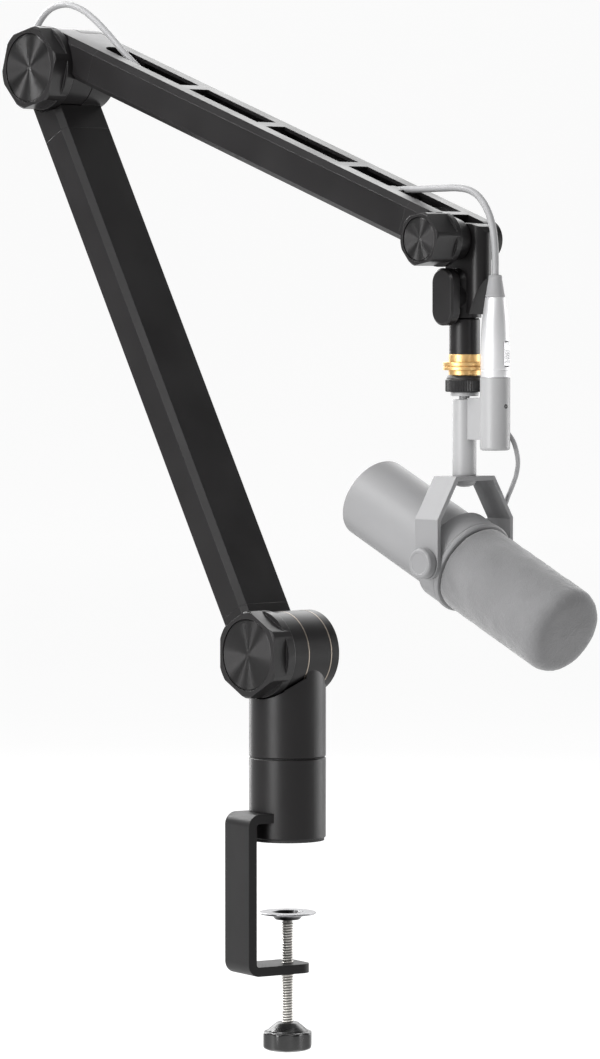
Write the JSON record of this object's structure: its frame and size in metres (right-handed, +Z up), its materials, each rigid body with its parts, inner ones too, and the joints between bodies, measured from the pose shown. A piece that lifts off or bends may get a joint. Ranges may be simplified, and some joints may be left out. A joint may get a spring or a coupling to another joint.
{
  "type": "condenser microphone",
  "caption": "End-address condenser microphone in a yoke, hung from a jointed boom arm with a desk clamp, with its XLR lead run through the arm.",
  "frame": {"origin": "centre of the base's underside, where it stands on the desk top", "axes": "+Z up; +X the way the boom reaches, towards the microphone; the locking knobs face -Y"},
  "size_m": [0.5183, 0.0807, 0.6917],
  "materials": {
    "anodised_black": "satin black anodised",
    "knob_black": "glossier black anodised",
    "disc_black": "radially turned black",
    "foot_rubber": "matte",
    "strap_black": "satin powder coat",
    "dark_screws": "black oxide",
    "bush_bronze": "oiled",
    "bright_steel": "zinc plated",
    "washer_silver": "fine turned",
    "washer_nylon": "matte",
    "adapter_brass": "bright brass",
    "nut_black": "satin black, knurled",
    "stem_grey": "light grey enamel",
    "pins_silver": "bright",
    "shell_nickel": "satin nickel",
    "boot_rubber": "matte grey",
    "mic_grey": "light grey enamel",
    "foam_grey": "fine open-cell foam",
    "cage_dark": "satin",
    "capsule_gold": "gold sputtered",
    "mount_rubber": "matte",
    "board_green": "solder mask",
    "stud_steel": "satin",
    "pad_satin": "satin nickel cup",
    "knob_plastic": "moulded",
    "lead_grey": "matte jacket",
    "tie_black": "hook and loop"
  },
  "bodies": {
    "base": {"base_body": "anodised_black", "foot_pad": "foot_rubber", "clamp_bracket": "strap_black", "bracket_screws": "dark_screws", "pan_bush": "bush_bronze"},
    "turret": {"turret_body": "anodised_black", "pan_spindle": "bright_steel", "pan_nut": "bright_steel", "shoulder_washers": "washer_silver"},
    "lower_arm": {"lower_arm_tube": "anodised_black", "lower_arm_foot": "anodised_black", "lower_arm_head": "anodised_black", "shoulder_bolt": "dark_screws", "elbow_bolt": "dark_screws", "lead_lower": "lead_grey", "lead_hank": "lead_grey", "hank_tie": "tie_black", "end_plug": "shell_nickel"},
    "upper_arm": {"elbow_washer": "washer_nylon", "upper_arm_tube": "anodised_black", "upper_arm_heel": "anodised_black", "upper_arm_fork": "anodised_black", "wrist_bolt": "dark_screws", "lead_elbow": "lead_grey", "lead_wrist": "lead_grey"},
    "wrist": {"wrist_head": "anodised_black", "wrist_washers": "washer_silver"},
    "mic_mount": {"mount_tube": "anodised_black", "brass_adapter": "adapter_brass", "mic_stem": "stem_grey", "mic_yoke": "stem_grey", "yoke_bolt": "stem_grey", "xlr_barrel": "stem_grey", "xlr_pins": "pins_silver", "plug_shell": "shell_nickel", "plug_boot": "boot_rubber", "mic_lead": "lead_grey"},
    "latch": {"plug_latch": "shell_nickel"},
    "microphone": {"mic_body": "mic_grey", "mic_rear_cover": "mic_grey", "mic_band": "mic_grey", "windscreen": "foam_grey", "grille_cage": "cage_dark", "capsule": "capsule_gold", "capsule_mount": "mount_rubber", "circuit_board": "board_green", "pivot_studs": "stud_steel"},
    "shoulder_knob": {"shoulder_knob": "knob_black", "shoulder_disc": "disc_black"},
    "elbow_knob": {"elbow_knob": "knob_black", "elbow_disc": "disc_black"},
    "wrist_knob": {"wrist_knob": "knob_black", "wrist_disc": "disc_black"},
    "oval_knob": {"oval_knob": "knob_black"},
    "knurled_nut": {"knurled_nut": "nut_black"},
    "side_knob_near": {"side_knob_near": "stem_grey"},
    "side_knob_far": {"side_knob_far": "stem_grey"},
    "clamp_pad": {"clamp_pad": "pad_satin"},
    "clamp_screw": {"clamp_screw": "bright_steel", "clamp_knob": "knob_plastic"}
  },
  "joints": [
    {"name": "pan", "type": "hinge", "parent": "base", "child": "turret", "pos_m": [0, 0, 0.06], "axis": [0, 0, 1], "continuous": true},
    {"name": "shoulder", "type": "hinge", "parent": "turret", "child": "lower_arm", "pos_m": [0, 0, 0.122], "axis": [0, 1, 0], "range_deg": [-18, 50]},
    {"name": "elbow", "type": "hinge", "parent": "lower_arm", "child": "upper_arm", "pos_m": [-0.21698, 0, 0.50708], "axis": [0, -1, 0], "range_deg": [-10, 120], "deforming": ["lead_elbow"]},
    {"name": "wrist_tilt", "type": "hinge", "parent": "upper_arm", "child": "wrist", "pos_m": [0.162, 0, 0.388], "axis": [0, 1, 0], "range_deg": [-72, 45], "deforming": ["lead_wrist"]},
    {"name": "mount_swivel", "type": "hinge", "parent": "wrist", "child": "mic_mount", "pos_m": [0.162, 0, 0.33], "axis": [0, 0, 1], "range_deg": [-18, 75]},
    {"name": "mic_tilt", "type": "hinge", "parent": "mic_mount", "child": "microphone", "pos_m": [0.162, 0, 0.187], "axis": [0, 1, 0], "range_deg": [-60, 15], "deforming": ["mic_lead"]},
    {"name": "plug_latch_press", "type": "slide", "parent": "mic_mount", "child": "latch", "axis": [-0.9903, -0.1392, 0], "range_m": [0, 0.0012], "stiffness_N_per_m": 400},
    {"name": "shoulder_knob_turn", "type": "hinge", "parent": "lower_arm", "child": "shoulder_knob", "pos_m": [0, 0, 0.122], "axis": [0, -1, 0], "continuous": true},
    {"name": "elbow_knob_turn", "type": "hinge", "parent": "lower_arm", "child": "elbow_knob", "pos_m": [-0.21698, 0, 0.50708], "axis": [0, -1, 0], "continuous": true},
    {"name": "wrist_knob_turn", "type": "hinge", "parent": "upper_arm", "child": "wrist_knob", "pos_m": [0.162, 0, 0.388], "axis": [0, -1, 0], "continuous": true},
    {"name": "oval_knob_turn", "type": "hinge", "parent": "wrist", "child": "oval_knob", "pos_m": [0.162, 0, 0.3524], "axis": [0, -1, 0], "continuous": true},
    {"name": "nut_turn", "type": "hinge", "parent": "mic_mount", "child": "knurled_nut", "pos_m": [0.162, 0, 0.298], "axis": [0, 0, 1], "continuous": true},
    {"name": "side_knob_near_turn", "type": "hinge", "parent": "microphone", "child": "side_knob_near", "pos_m": [0.162, 0, 0.187], "axis": [0, -1, 0], "continuous": true},
    {"name": "side_knob_far_turn", "type": "hinge", "parent": "microphone", "child": "side_knob_far", "pos_m": [0.162, 0, 0.187], "axis": [0, 1, 0], "continuous": true},
    {"name": "clamp_pad_travel", "type": "slide", "parent": "base", "child": "clamp_pad", "axis": [0, 0, 1], "range_m": [-0.025, 0.032]},
    {"name": "clamp_screw_turn", "type": "hinge", "parent": "clamp_pad", "child": "clamp_screw", "pos_m": [0, 0, -0.1], "axis": [0, 0, 1], "range_deg": [-5150, 6590]}
  ],
  "couplings": [
    {"joint": "clamp_screw_turn", "follows": "clamp_pad_travel", "rad_per_m": 3590.4}
  ]
}
